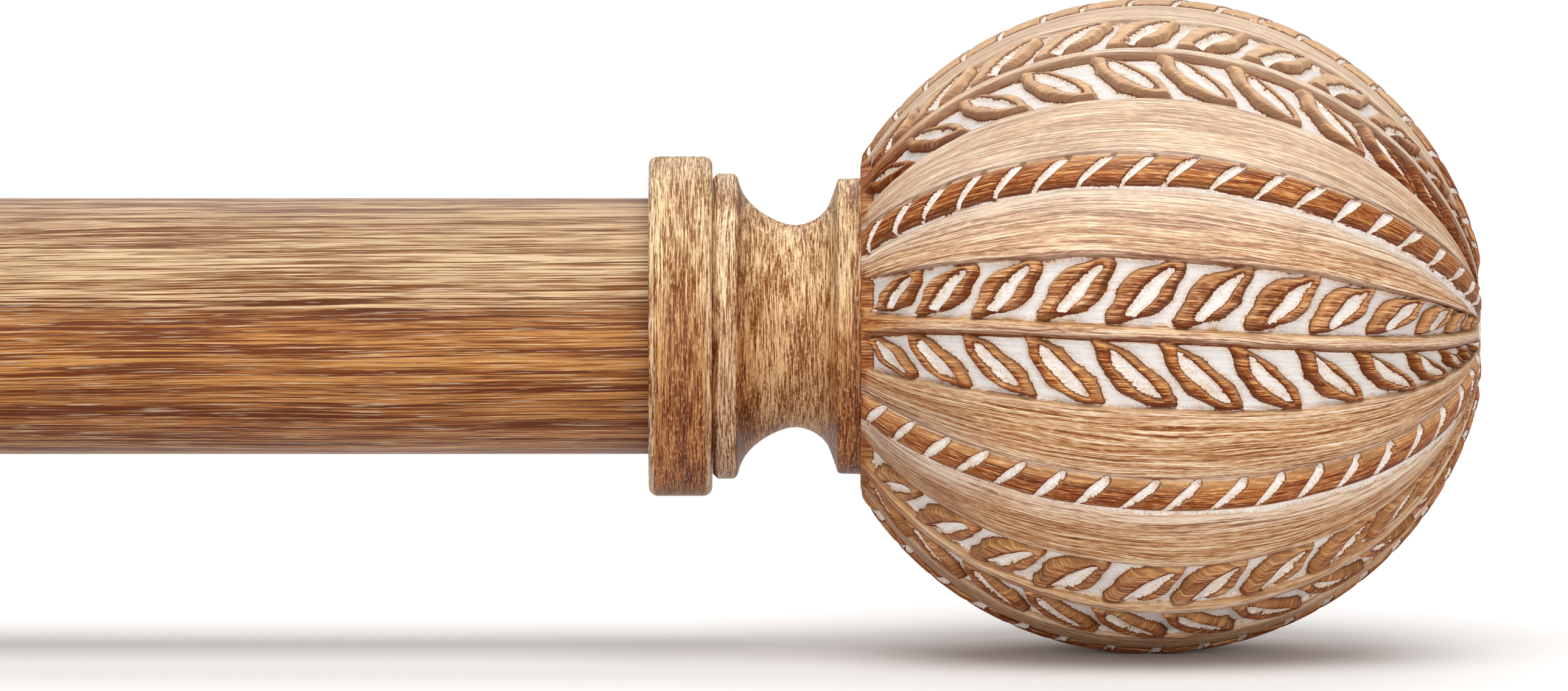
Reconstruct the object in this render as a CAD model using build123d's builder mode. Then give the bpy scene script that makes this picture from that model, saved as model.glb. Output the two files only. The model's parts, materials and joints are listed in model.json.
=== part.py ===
"""Telescoping curtain rod with two carved ball finials, lying in two adjustable wall brackets.

Millimetres. +X runs along the rod towards the right finial, +Z is up, and the wall is the plane Y = 0 with
the room on the -Y side. The origin is the centre of the right wall plate's back face.
"""
import os

from build123d import *

os.makedirs("parts", exist_ok=True)

# ---------------------------------------------------------------- driving dimensions
ROD_D = 25.4  # outer tube, 1 in
INNER_D = 22.2  # inner tube, 7/8 in
WALL = 0.9  # wall of both tubes
CLOSED_LENGTH = 457.0  # between the finials' collars with the rod pushed together, 18 in
BRACKET_INSET = 115.0  # from a collar's face to the middle of the nearer bracket
INNER_SHOWS = 8.0  # length of inner tube left in view with the rod pushed together
PROJECTION = 85.0  # wall to rod axis with the arms pushed in
SLIP = 0.05  # radial running clearance of everything that slides or turns
CUT = 10.0  # depth of a hole that runs out of the piece it is cut in

# finial, measured outwards from the collar's face
COLLAR_R = 33.7 / 2
COLLAR_L = 6.3
COLLAR_ROUNDING = 0.9
SOCKET_DEPTH = 5.0
STEP_R = 30.3 / 2
STEP_END = 8.7
COVE_R = 20.1 / 2
COVE_MID = 14.75
LIP_R = 29.4 / 2
LIP_START = 18.65
NECK_END = 21.1
BALL_MID = 49.8
BALL_HALF_LENGTH = 33.2
BALL_R = 32.2
BALL_TIP_R = 5.0
SEAM = 0.05  # gap between finial pieces that butt together
STUD_R = 3.0
STUD_TIP = 40.0
PLUG_TAIL = -20.0
NUT_T = 5.0
NUT_APOTHEM = 5.0  # half the width across the flats of an M6 nut
STUD_HOLE_R = 3.1
INSERT_R = 5.0
INSERT_L = 16.0
SET_SCREW_R = 1.5
SET_SCREW_L = 3.6
SET_SCREW_AT = 2.6
SET_SCREW_SUNK = 0.6  # below the collar's surface
REDUCER_LIP = 0.8  # collar of the left finial's reducer, outside its socket

# bracket
PLATE_R = 28.0
PLATE_T = 5.0
RIM_T = 1.6  # straight part of the plate's edge
LEDGE_T = 2.6  # height of the step round the plate
LEDGE_IN = 2.2  # step round the plate, from its edge inwards
DOME_IN = 4.6  # start of the flat face, from the edge inwards
BOSS_R = 12.0
BOSS_TOP = 16.0
BOSS_COVE = 2.5
BOSS_CHAMFER = 1.5
SCREW_SPACING = 38.0
SCREW_HOLE_R = 2.4
SCREW_HEAD_R = 4.0
ARM_TUBE_R = 8.0
ARM_TUBE_WALL = 1.6
ARM_TUBE_FOOT = 4.0
ARM_TUBE_MOUTH = 50.0
BUSH_L = 12.0
BUSH_FLANGE = 1.5
EDGE_CHAMFER = 0.5
ARM_R = 5.0
ARM_TAIL = 6.0
ARM_SHOULDER = 55.0
ARM_THREAD_IN = 5.0  # length of the arm's threaded end inside the cradle's boss
LOCK_SCREW_AT = 31.0
LOCK_SCREW_R = 2.0
LOCK_SCREW_L = 4.4
CRADLE_W = 14.0
CRADLE_WALL = 3.2
CRADLE_LIP = 8.0  # height of the cradle's horns above the rod axis
LINER_T = 1.0
REAR_BOSS_R = 7.0
REAR_BOSS_L = 6.0
FRONT_BOSS_R = 5.5
FRONT_BOSS_L = 3.0
HORN_ROUNDING = 1.4
LOCK_NUT_T = 3.0
SCREW_R = 2.5  # thumbscrew thread, M5
KNOB_R = 7.5
KNOB_L = 8.0
KNURL_COUNT = 18
KNURL_R = 0.9
KNURL_OUT = 0.35  # centres of the knurls' grooves, outside the knob's edge
KNOB_GAP = 1.0  # between the front boss and the knob with the screw tight
PAD_L = 3.0
PIN_R = 1.4
PIN_L = 1.6

# ---------------------------------------------------------------- derived places
RIGHT_FACE = BRACKET_INSET  # X of the right collar's face
LEFT_FACE = RIGHT_FACE - CLOSED_LENGTH
RIGHT_BRACKET = 0.0
LEFT_BRACKET = LEFT_FACE + BRACKET_INSET
TUBE_GAP = 0.2  # end play of a tube in its collar
ROD_AXIS = Axis((0, -PROJECTION, 0), (1, 0, 0))


def save(builder, name):
    """Labels a finished piece and writes it as a STEP file of the same name."""
    builder.part.label = name
    export_step(builder.part, f"parts/{name}.step")


def rod_plane(x, way):
    """A plane through the rod's axis: local X runs outwards along the rod and local Y is the radius."""
    return Plane(origin=(x, -PROJECTION, 0), x_dir=(way, 0, 0), z_dir=(0, -way, 0))


def arm_plane(x, y=0.0):
    """A plane across a bracket's arm, facing the room: local X runs along the rod, local Y is up."""
    return Plane(origin=(x, y, 0), x_dir=(1, 0, 0), z_dir=(0, -1, 0))


def ring(name, x_from, x_to, outer, inner):
    """A plain ring or tube round the rod's axis, between two places along it."""
    with BuildPart() as piece:
        with BuildSketch(Plane(origin=(x_from, -PROJECTION, 0), x_dir=(0, 1, 0), z_dir=(1, 0, 0))):
            Circle(outer)
            Circle(inner, mode=Mode.SUBTRACT)
        extrude(amount=x_to - x_from)
    save(piece, name)


# ---------------------------------------------------------------- rod
TUBE_RIGHT = RIGHT_FACE + SOCKET_DEPTH - TUBE_GAP
TUBE_LEFT = LEFT_FACE + INNER_SHOWS
INNER_LEFT = LEFT_FACE - SOCKET_DEPTH + TUBE_GAP
INNER_RIGHT = RIGHT_FACE + PLUG_TAIL - NUT_T - 12.0  # 12 mm short of the right finial's nut
OUTER_BORE = ROD_D / 2 - WALL
INNER_BORE = INNER_D / 2 - WALL
GUIDE_FLANGE = 1.5
GUIDE_L = 14.0
GLIDE_L = 12.0

ring("outer_tube", TUBE_LEFT + GUIDE_FLANGE, TUBE_RIGHT, ROD_D / 2, OUTER_BORE)
ring("inner_tube", INNER_LEFT, INNER_RIGHT, INNER_D / 2, INNER_BORE)
ring("tube_tail_glide", INNER_RIGHT - GLIDE_L, INNER_RIGHT, OUTER_BORE - SLIP, INNER_D / 2)

with BuildPart() as mouth_guide:
    with BuildSketch(rod_plane(TUBE_LEFT, 1)):
        with BuildLine():
            Polyline(
                (0, INNER_D / 2 + SLIP),
                (0, ROD_D / 2 - 0.3),
                (0.3, ROD_D / 2),
                (GUIDE_FLANGE, ROD_D / 2),
                (GUIDE_FLANGE, OUTER_BORE),
                (GUIDE_L, OUTER_BORE),
                (GUIDE_L, INNER_D / 2 + SLIP),
                close=True,
            )
        make_face()
    revolve(axis=ROD_AXIS)
save(mouth_guide, "tube_mouth_guide")


# ---------------------------------------------------------------- finials
def set_screw_plane(face, way, radius):
    """A plane square to the set screw, which points out of the collar between down and the wall."""
    out = Vector(0, 1, -1).normalized()
    place = Vector(face + way * SET_SCREW_AT, -PROJECTION, 0) + out * radius
    return Plane(origin=place, x_dir=(1, 0, 0), z_dir=out)


def finial_collar(side, face, way):
    """The ring that slips over the tube's end, with a web at its far side and a hole for the set screw."""
    with BuildPart() as collar:
        with BuildSketch(rod_plane(face, way)):
            with BuildLine():
                Polyline(
                    (0, ROD_D / 2 + SLIP),
                    (0, COLLAR_R),
                    (COLLAR_L, COLLAR_R),
                    (COLLAR_L, STUD_HOLE_R),
                    (SOCKET_DEPTH, STUD_HOLE_R),
                    (SOCKET_DEPTH, ROD_D / 2 + SLIP),
                    close=True,
                )
            make_face()
        revolve(axis=ROD_AXIS)
        rims = collar.edges().filter_by(GeomType.CIRCLE).group_by(SortBy.RADIUS)[-1]
        fillet(rims, radius=COLLAR_ROUNDING)
        with BuildSketch(set_screw_plane(face, way, ROD_D / 2 - 1)):
            Circle(SET_SCREW_R + SLIP)
        extrude(amount=CUT, mode=Mode.SUBTRACT)
    save(collar, f"{side}_finial_collar")


def finial_neck(side, face, way):
    """The turned neck: a step, a deep cove and a lip under the ball, bored for the stud."""
    step_back = COLLAR_L + SEAM
    with BuildPart() as neck:
        with BuildSketch(rod_plane(face, way)):
            with BuildLine():
                Polyline(
                    (step_back, STUD_HOLE_R),
                    (step_back, STEP_R - 0.5),
                    (step_back + 0.5, STEP_R),
                    (STEP_END - 0.5, STEP_R),
                )
                Spline(
                    (STEP_END - 0.5, STEP_R),
                    (STEP_END + 0.25, STEP_R - 0.9),
                    (STEP_END + 1.4, COVE_R + 2.2),
                    (COVE_MID - 2.4, COVE_R + 0.6),
                    (COVE_MID, COVE_R),
                    (COVE_MID + 1.8, COVE_R + 0.6),
                    (COVE_MID + 2.9, COVE_R + 1.6),
                    (LIP_START - 0.4, COVE_R + 3.0),
                    (LIP_START, LIP_R - 0.5),
                    (LIP_START + 0.7, LIP_R - 0.05),
                    tangents=[(1, 0), (1, 0)],
                )
                Polyline(
                    (LIP_START + 0.7, LIP_R - 0.05),
                    (NECK_END, LIP_R),
                    (NECK_END, STUD_HOLE_R),
                    (step_back, STUD_HOLE_R),
                )
            make_face()
        revolve(axis=ROD_AXIS)
    save(neck, f"{side}_finial_neck")


def ball_radius(along):
    """Radius of the ball at a place measured from the collar's face."""
    return BALL_R * (1 - ((along - BALL_MID) / BALL_HALF_LENGTH) ** 2) ** 0.5


def finial_ball(side, face, way):
    """The ball, a little longer than round, with flats at the neck and at its tip, and a blind bore."""
    foot = NECK_END + SEAM
    tip = BALL_MID + BALL_HALF_LENGTH * (1 - (BALL_TIP_R / BALL_R) ** 2) ** 0.5
    with BuildPart() as ball:
        with BuildSketch(rod_plane(face, way)):
            with BuildLine():
                Polyline((foot, 0), (foot, ball_radius(foot)))
                Spline(
                    (foot, ball_radius(foot)),
                    *[(a, ball_radius(a)) for a in (25.0, 31.0, 40.0, BALL_MID, 59.0, 68.0, 75.0, 80.0)],
                    (tip, BALL_TIP_R),
                )
                Polyline((tip, BALL_TIP_R), (tip, 0), (foot, 0))
            make_face()
        revolve(axis=ROD_AXIS)
        with BuildSketch(rod_plane(face, way)):
            with BuildLine():
                Polyline(
                    (foot - 1, 0),
                    (foot - 1, INSERT_R + SLIP),
                    (foot + INSERT_L + SLIP, INSERT_R + SLIP),
                    (foot + INSERT_L + SLIP, STUD_R + 0.3),
                    (STUD_TIP + 1.0, STUD_R + 0.3),
                    (STUD_TIP + 1.0, 0),
                    close=True,
                )
            make_face()
        revolve(axis=ROD_AXIS, mode=Mode.SUBTRACT)
    save(ball, f"{side}_finial_ball")


def finial_plug(side, face, way, bore):
    """The plug inside the tube's end, chamfered where it enters."""
    with BuildPart() as plug:
        with BuildSketch(rod_plane(face, way)):
            with BuildLine():
                Polyline(
                    (PLUG_TAIL, STUD_HOLE_R),
                    (PLUG_TAIL, bore - SLIP - 1.0),
                    (PLUG_TAIL + 1.0, bore - SLIP),
                    (SOCKET_DEPTH - SEAM, bore - SLIP),
                    (SOCKET_DEPTH - SEAM, STUD_HOLE_R),
                    close=True,
                )
            make_face()
        revolve(axis=ROD_AXIS)
    save(plug, f"{side}_finial_plug")


def finial_fasteners(side, face, way, tip_radius):
    """The stud, its nut, the threaded insert in the ball, and the collar's set screw."""
    across = Plane(origin=(face, -PROJECTION, 0), x_dir=(0, 1, 0), z_dir=(way, 0, 0))
    stud_tail = PLUG_TAIL - NUT_T - 1.5
    with BuildPart() as stud:
        with BuildSketch(across.offset(stud_tail)):
            Circle(STUD_R)
        extrude(amount=STUD_TIP - stud_tail)
        chamfer(stud.edges().filter_by(GeomType.CIRCLE), length=EDGE_CHAMFER)
    save(stud, f"{side}_finial_stud")

    with BuildPart() as nut:
        with BuildSketch(across.offset(PLUG_TAIL - SEAM)):
            RegularPolygon(radius=NUT_APOTHEM, side_count=6, major_radius=False)
            Circle(STUD_R + SLIP, mode=Mode.SUBTRACT)
        extrude(amount=-NUT_T)
    save(nut, f"{side}_finial_nut")

    with BuildPart() as insert:
        with BuildSketch(across.offset(NECK_END + 2 * SEAM)):
            Circle(INSERT_R)
            Circle(STUD_R + SLIP, mode=Mode.SUBTRACT)
        extrude(amount=INSERT_L - 2 * SEAM)
    save(insert, f"{side}_finial_insert")

    with BuildPart() as set_screw:
        with BuildSketch(set_screw_plane(face, way, tip_radius)):
            Circle(SET_SCREW_R)
        extrude(amount=COLLAR_R - SET_SCREW_SUNK - tip_radius)
        with BuildSketch(set_screw_plane(face, way, COLLAR_R - SET_SCREW_SUNK)):
            RegularPolygon(radius=0.75, side_count=6, major_radius=False)
        extrude(amount=-1.5, mode=Mode.SUBTRACT)
    save(set_screw, f"{side}_finial_set_screw")


for side, face, way, bore, tube_r in (
    ("right", RIGHT_FACE, 1, OUTER_BORE, ROD_D / 2),
    ("left", LEFT_FACE, -1, INNER_BORE, INNER_D / 2),
):
    finial_collar(side, face, way)
    finial_neck(side, face, way)
    finial_ball(side, face, way)
    finial_plug(side, face, way, bore)
    finial_fasteners(side, face, way, tube_r + 0.1)

with BuildPart() as reducer:
    with BuildSketch(rod_plane(LEFT_FACE, -1)):
        with BuildLine():
            Polyline(
                (-REDUCER_LIP, INNER_D / 2 + SLIP),
                (-REDUCER_LIP, ROD_D / 2 + REDUCER_LIP),
                (-SEAM, ROD_D / 2 + REDUCER_LIP),
                (-SEAM, ROD_D / 2),
                (SOCKET_DEPTH - SEAM, ROD_D / 2),
                (SOCKET_DEPTH - SEAM, INNER_D / 2 + SLIP),
                close=True,
            )
        make_face()
    revolve(axis=ROD_AXIS)
    with BuildSketch(set_screw_plane(LEFT_FACE, -1, INNER_D / 2 - 1)):
        Circle(SET_SCREW_R + SLIP)
    extrude(amount=CUT, mode=Mode.SUBTRACT)
save(reducer, "left_finial_reducer")


# ---------------------------------------------------------------- wall brackets
def wall_plate(side, x):
    """Round plate with a stepped edge, a coved boss for the arm tube, and two countersunk screw holes."""
    arm_axis = Axis((x, 0, 0), (0, -1, 0))
    with BuildPart() as plate:
        with BuildSketch(Plane(origin=(x, 0, 0), x_dir=(1, 0, 0), z_dir=(0, 0, 1))):
            with BuildLine():
                Polyline(
                    (0, 0),
                    (PLATE_R, 0),
                    (PLATE_R, -RIM_T),
                    (PLATE_R - LEDGE_T + RIM_T, -LEDGE_T),
                    (PLATE_R - LEDGE_IN, -LEDGE_T),
                )
                ThreePointArc(
                    (PLATE_R - LEDGE_IN, -LEDGE_T),
                    (PLATE_R - LEDGE_IN - 0.7, -PLATE_T + 0.7),
                    (PLATE_R - DOME_IN, -PLATE_T),
                )
                Line((PLATE_R - DOME_IN, -PLATE_T), (BOSS_R + BOSS_COVE, -PLATE_T))
                ThreePointArc(
                    (BOSS_R + BOSS_COVE, -PLATE_T),
                    (BOSS_R + 0.73, -PLATE_T - 0.73),
                    (BOSS_R, -PLATE_T - BOSS_COVE),
                )
                Polyline(
                    (BOSS_R, -PLATE_T - BOSS_COVE),
                    (BOSS_R, -BOSS_TOP + BOSS_CHAMFER),
                    (BOSS_R - BOSS_CHAMFER, -BOSS_TOP),
                    (ARM_TUBE_R + SLIP, -BOSS_TOP),
                    (ARM_TUBE_R + SLIP, -ARM_TUBE_FOOT),
                    (0, -ARM_TUBE_FOOT),
                    (0, 0),
                )
            make_face()
        revolve(axis=arm_axis)
        with Locations(Plane(origin=(x, -PLATE_T, 0), x_dir=(1, 0, 0), z_dir=(0, -1, 0))):
            with GridLocations(0, SCREW_SPACING, 1, 2):
                CounterSinkHole(radius=SCREW_HOLE_R, counter_sink_radius=SCREW_HEAD_R, depth=PLATE_T)
    save(plate, f"{side}_wall_plate")


def arm(side, x):
    """The fixed tube, its bush and lock screw, and the sliding rod with a threaded end."""
    inner = ARM_TUBE_R - ARM_TUBE_WALL
    screw_under = Plane(origin=(x, -LOCK_SCREW_AT, 0), x_dir=(1, 0, 0), z_dir=(0, 0, -1))
    with BuildPart() as tube:
        with BuildSketch(arm_plane(x, -ARM_TUBE_FOOT - SEAM)):
            Circle(ARM_TUBE_R)
            Circle(inner, mode=Mode.SUBTRACT)
        extrude(amount=ARM_TUBE_MOUTH - ARM_TUBE_FOOT - SEAM)
        with BuildSketch(screw_under.offset(ARM_R)):
            Circle(LOCK_SCREW_R + SLIP)
        extrude(amount=CUT, mode=Mode.SUBTRACT)
    save(tube, f"{side}_arm_tube")

    with BuildPart() as bush:
        with BuildSketch(arm_plane(x, BUSH_L - ARM_TUBE_MOUTH)):
            Circle(inner - SLIP)
            Circle(ARM_R + SLIP, mode=Mode.SUBTRACT)
        extrude(amount=BUSH_L + BUSH_FLANGE)
        with BuildSketch(arm_plane(x, -ARM_TUBE_MOUTH - SEAM)):
            Circle(ARM_TUBE_R)
            Circle(ARM_R + SLIP, mode=Mode.SUBTRACT)
        extrude(amount=BUSH_FLANGE - SEAM)
        widest = bush.edges().filter_by(GeomType.CIRCLE).group_by(SortBy.RADIUS)[-1]
        chamfer(widest.sort_by(Axis.Y)[0], length=EDGE_CHAMFER)
    save(bush, f"{side}_arm_bush")

    with BuildPart() as lock_screw:
        with BuildSketch(screw_under.offset(ARM_R + 0.1)):
            Circle(LOCK_SCREW_R)
        extrude(amount=LOCK_SCREW_L)
        with BuildSketch(screw_under.offset(ARM_R + 0.1 + LOCK_SCREW_L)):
            RegularPolygon(radius=1.0, side_count=6, major_radius=False)
        extrude(amount=-2, mode=Mode.SUBTRACT)
    save(lock_screw, f"{side}_arm_lock_screw")

    with BuildPart() as rod:
        with BuildSketch(arm_plane(x, -ARM_TAIL)):
            Circle(ARM_R)
        extrude(amount=ARM_SHOULDER - ARM_TAIL)
        chamfer(rod.edges().filter_by(GeomType.CIRCLE), length=0.6)
        with BuildSketch(arm_plane(x, -ARM_SHOULDER)):
            Circle(STUD_R)
        extrude(amount=CRADLE_BACK - ARM_SHOULDER + ARM_THREAD_IN)
    save(rod, f"{side}_arm_rod")


TROUGH_R = ROD_D / 2 + SLIP + LINER_T + SLIP
CRADLE_R = TROUGH_R + CRADLE_WALL
CRADLE_BACK = PROJECTION - CRADLE_R - REAR_BOSS_L  # wall to the back face of the cradle's boss
CRADLE_FRONT = PROJECTION + CRADLE_R + FRONT_BOSS_L  # wall to the front face of the thumbscrew's boss
PAD_FACE = PROJECTION + ROD_D / 2 + 0.1


def u_profile(outer, inner, top):
    """A U open at the top: a half ring below the rod's axis and two straight horns above it."""
    Circle(outer)
    with Locations((0, top / 2)):
        Rectangle(2 * outer, top)
    Circle(inner, mode=Mode.SUBTRACT)
    with Locations((0, top)):
        Rectangle(2 * inner, 2 * top, mode=Mode.SUBTRACT)
    with Locations((0, top + outer)):
        Rectangle(4 * outer, 2 * outer, mode=Mode.SUBTRACT)


def side_plane(x):
    """A plane across the rod, facing +X: local X runs towards the wall and local Y is up."""
    return Plane(origin=(x, -PROJECTION, 0), x_dir=(0, 1, 0), z_dir=(1, 0, 0))


def cradle(side, x):
    """U-shaped cradle with a boss for the arm at its back and one for the thumbscrew at its front."""
    with BuildPart() as body:
        with BuildSketch(side_plane(x - CRADLE_W / 2)):
            u_profile(CRADLE_R, TROUGH_R, CRADLE_LIP)
        extrude(amount=CRADLE_W)
        horns = body.edges().filter_by(Axis.X).group_by(Axis.Z)[-1]
        fillet(horns, radius=HORN_ROUNDING)
        with BuildSketch(arm_plane(x, -CRADLE_BACK)):
            Circle(REAR_BOSS_R)
        extrude(amount=PROJECTION - TROUGH_R - 1.0 - CRADLE_BACK)
        with BuildSketch(arm_plane(x, -CRADLE_FRONT)):
            Circle(FRONT_BOSS_R)
        extrude(amount=-(CRADLE_FRONT - PROJECTION - TROUGH_R - 1.0))
        with BuildSketch(arm_plane(x, -CRADLE_BACK + 1)):
            Circle(STUD_R + SLIP)
        extrude(amount=ARM_THREAD_IN + 1.5, mode=Mode.SUBTRACT)
        with BuildSketch(arm_plane(x, -CRADLE_FRONT - 1)):
            Circle(SCREW_R + SLIP)
        extrude(amount=-CUT, mode=Mode.SUBTRACT)
    save(body, f"{side}_cradle")

    with BuildPart() as liner:
        with BuildSketch(side_plane(x - CRADLE_W / 2 + 0.5)):
            u_profile(ROD_D / 2 + SLIP + LINER_T, ROD_D / 2 + SLIP, CRADLE_LIP - 1.5)
        extrude(amount=CRADLE_W - 1.0)
        with BuildSketch(arm_plane(x, -PROJECTION - ROD_D / 2 - 3)):
            Circle(SCREW_R + SLIP)
        extrude(amount=-6, mode=Mode.SUBTRACT)
    save(liner, f"{side}_cradle_liner")

    with BuildPart() as lock_nut:
        with BuildSketch(arm_plane(x, -CRADLE_BACK + SEAM)):
            RegularPolygon(radius=NUT_APOTHEM, side_count=6, major_radius=False)
            Circle(STUD_R + SLIP, mode=Mode.SUBTRACT)
        extrude(amount=-LOCK_NUT_T)
    save(lock_nut, f"{side}_cradle_lock_nut")


def thumbscrew(side, x):
    """Knurled thumbscrew through the cradle's front boss, and the pad that swivels on its tip."""
    knob_back = CRADLE_FRONT + KNOB_GAP
    shank_tip = PAD_FACE + PAD_L + SEAM
    with BuildPart() as screw:
        with BuildSketch(arm_plane(x, -knob_back)):
            Circle(KNOB_R)
            with PolarLocations(KNOB_R + KNURL_OUT, KNURL_COUNT):
                Circle(KNURL_R, mode=Mode.SUBTRACT)
        extrude(amount=KNOB_L)
        chamfer(screw.faces().sort_by(Axis.Y)[0].edges(), length=EDGE_CHAMFER)
        with BuildSketch(arm_plane(x, -knob_back)):
            Circle(SCREW_R)
        extrude(amount=-(knob_back - shank_tip))
        with BuildSketch(arm_plane(x, -shank_tip)):
            Circle(PIN_R)
        extrude(amount=-PIN_L)
    save(screw, f"{side}_thumbscrew")

    with BuildPart() as pad:
        with BuildSketch(arm_plane(x, -PAD_FACE)):
            Circle(SCREW_R - SLIP)
        extrude(amount=PAD_L)
        with BuildSketch(arm_plane(x, -PAD_FACE - PAD_L)):
            Circle(PIN_R + SLIP)
        extrude(amount=-PIN_L - SEAM, mode=Mode.SUBTRACT)
    save(pad, f"{side}_thumbscrew_pad")


for side, x in (("right", RIGHT_BRACKET), ("left", LEFT_BRACKET)):
    wall_plate(side, x)
    arm(side, x)
    cradle(side, x)
    thumbscrew(side, x)

print(f"bracket centres at X {RIGHT_BRACKET} and {LEFT_BRACKET:.1f}")
print(f"collar faces at X {RIGHT_FACE} and {LEFT_FACE:.1f}")
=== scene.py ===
import json
import math

import bpy
import numpy as np
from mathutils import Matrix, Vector


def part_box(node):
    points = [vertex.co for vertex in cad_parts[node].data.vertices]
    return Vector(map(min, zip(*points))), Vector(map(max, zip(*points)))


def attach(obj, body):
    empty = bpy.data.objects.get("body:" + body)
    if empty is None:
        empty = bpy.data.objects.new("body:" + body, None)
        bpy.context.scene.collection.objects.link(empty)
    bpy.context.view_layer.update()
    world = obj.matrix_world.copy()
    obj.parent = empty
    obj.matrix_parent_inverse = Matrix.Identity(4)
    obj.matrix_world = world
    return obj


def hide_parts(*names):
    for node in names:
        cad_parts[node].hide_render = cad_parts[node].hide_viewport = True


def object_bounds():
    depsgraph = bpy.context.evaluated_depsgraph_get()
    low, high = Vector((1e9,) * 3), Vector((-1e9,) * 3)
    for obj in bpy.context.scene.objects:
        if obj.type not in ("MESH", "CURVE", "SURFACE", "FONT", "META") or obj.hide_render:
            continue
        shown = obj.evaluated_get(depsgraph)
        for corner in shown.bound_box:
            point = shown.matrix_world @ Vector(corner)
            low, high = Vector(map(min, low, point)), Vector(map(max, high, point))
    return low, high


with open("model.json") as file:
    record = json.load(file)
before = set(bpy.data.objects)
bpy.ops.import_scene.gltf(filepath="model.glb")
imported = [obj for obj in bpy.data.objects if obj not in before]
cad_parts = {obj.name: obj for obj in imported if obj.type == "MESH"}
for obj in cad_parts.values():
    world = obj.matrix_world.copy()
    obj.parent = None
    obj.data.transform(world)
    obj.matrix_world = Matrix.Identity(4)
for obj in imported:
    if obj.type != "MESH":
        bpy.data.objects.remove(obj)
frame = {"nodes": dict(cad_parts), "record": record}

# Metres, in the CAD frame: +X along the rod to the right finial, +Z up, the wall on the +Y side.
CAD_BOX = [list(corner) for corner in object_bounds()]
RING_TRACK = frame["record"]["mounts"][-1]  # the mount along the rod's tube
ROD_Y = RING_TRACK["pos_m"][1]
ROD_R_MM = RING_TRACK["dims"]["r_mm"]


# ================================================================ node helpers
class Tree:
    """A material's node tree, with one short call for each kind of node that the materials here use."""

    def __init__(self, name):
        self.material = bpy.data.materials.new(name)
        self.material.use_nodes = True
        self.tree = self.material.node_tree
        self.shader = self.tree.nodes["Principled BSDF"]

    def node(self, kind, inputs=(), **settings):
        """A new node, with its settings, and links or values for its inputs."""
        made = self.tree.nodes.new(kind)
        for key, value in settings.items():
            setattr(made, key, value)
        for key, value in dict(inputs).items():
            self.put(made.inputs[key], value)
        return made

    def put(self, socket, value):
        """Links an output socket, or sets a plain value."""
        if isinstance(value, bpy.types.NodeSocket):
            self.tree.links.new(value, socket)
        elif value is not None:
            socket.default_value = value

    def math(self, operation, a, b=None, c=None):
        """The result of a math node."""
        return self.node("ShaderNodeMath", {0: a, 1: b, 2: c}, operation=operation).outputs[0]

    def span(self, value, low, high, to_low=0.0, to_high=1.0, smooth=True):
        """The value carried from one range to another and held at its ends, by a smooth step or straight."""
        made = self.node(
            "ShaderNodeMapRange",
            {"Value": value, "From Min": low, "From Max": high, "To Min": to_low, "To Max": to_high},
            interpolation_type="SMOOTHSTEP" if smooth else "LINEAR",
        )
        return made.outputs["Result"]

    def mix(self, factor, a, b, blend="MIX"):
        """Colour a where the factor is 0, and b blended in where it is 1."""
        made = self.node("ShaderNodeMix", data_type="RGBA", blend_type=blend, clamp_factor=True)
        for index, value in ((0, factor), (6, a), (7, b)):
            self.put(made.inputs[index], value)
        return made.outputs[2]

    def ramp(self, factor, stops):
        """The colour at that place between (place, colour) stops."""
        made = self.node("ShaderNodeValToRGB", {"Fac": factor})
        points = made.color_ramp.elements
        while len(points) < len(stops):
            points.new(1.0)
        for point, (place, colour) in zip(points, stops):
            point.position = place
            point.color = (*colour, 1.0)
        return made.outputs["Color"]

    def vector(self, x, y, z):
        """Three numbers joined into a vector."""
        return self.node("ShaderNodeCombineXYZ", {"X": x, "Y": y, "Z": z}).outputs[0]

    def noise(self, vector, scale, detail, rough):
        """Noise from 0 to 1, mostly near 0.5."""
        made = self.node(
            "ShaderNodeTexNoise",
            {"Vector": vector, "Scale": scale, "Detail": detail, "Roughness": rough},
        )
        return made.outputs["Fac"]

    def attribute(self, name):
        """The three numbers that a mesh keeps at its points under that name."""
        made = self.node("ShaderNodeAttribute", attribute_name=name)
        return self.node("ShaderNodeSeparateXYZ", {0: made.outputs["Vector"]}).outputs

    def bump(self, height, strength, distance, below=None):
        """A normal bent by a height, on top of the bump below if there is one."""
        made = self.node("ShaderNodeBump", {"Height": height, "Strength": strength, "Distance": distance})
        self.put(made.inputs["Normal"], below)
        return made.outputs[0]

    def finish(self, colour, roughness, normal=None, **constants):
        """Fills in the shader, with any constants by their sockets' names, and gives the material."""
        self.put(self.shader.inputs["Base Color"], colour)
        self.put(self.shader.inputs["Roughness"], roughness)
        self.put(self.shader.inputs["Normal"], normal)
        for name, value in constants.items():
            self.shader.inputs[name.replace("_", " ")].default_value = value
        return self.material


def round_coordinates(t):
    """Along the rod and round it in millimetres, the turn round it from -1 to 1, and the radius in mm."""
    place = t.node("ShaderNodeTexCoord").outputs["Object"]
    x, depth, z = t.node("ShaderNodeSeparateXYZ", {0: place}).outputs
    towards = t.math("SUBTRACT", ROD_Y, depth)
    turn = t.math("ARCTAN2", z, towards)
    radius = t.math("SQRT", t.math("ADD", t.math("POWER", z, 2.0), t.math("POWER", towards, 2.0)))
    return (
        t.math("MULTIPLY", x, 1000.0),
        t.math("MULTIPLY", turn, ROD_R_MM),
        t.math("DIVIDE", turn, math.pi),
        t.math("MULTIPLY", radius, 1000.0),
    )


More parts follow.
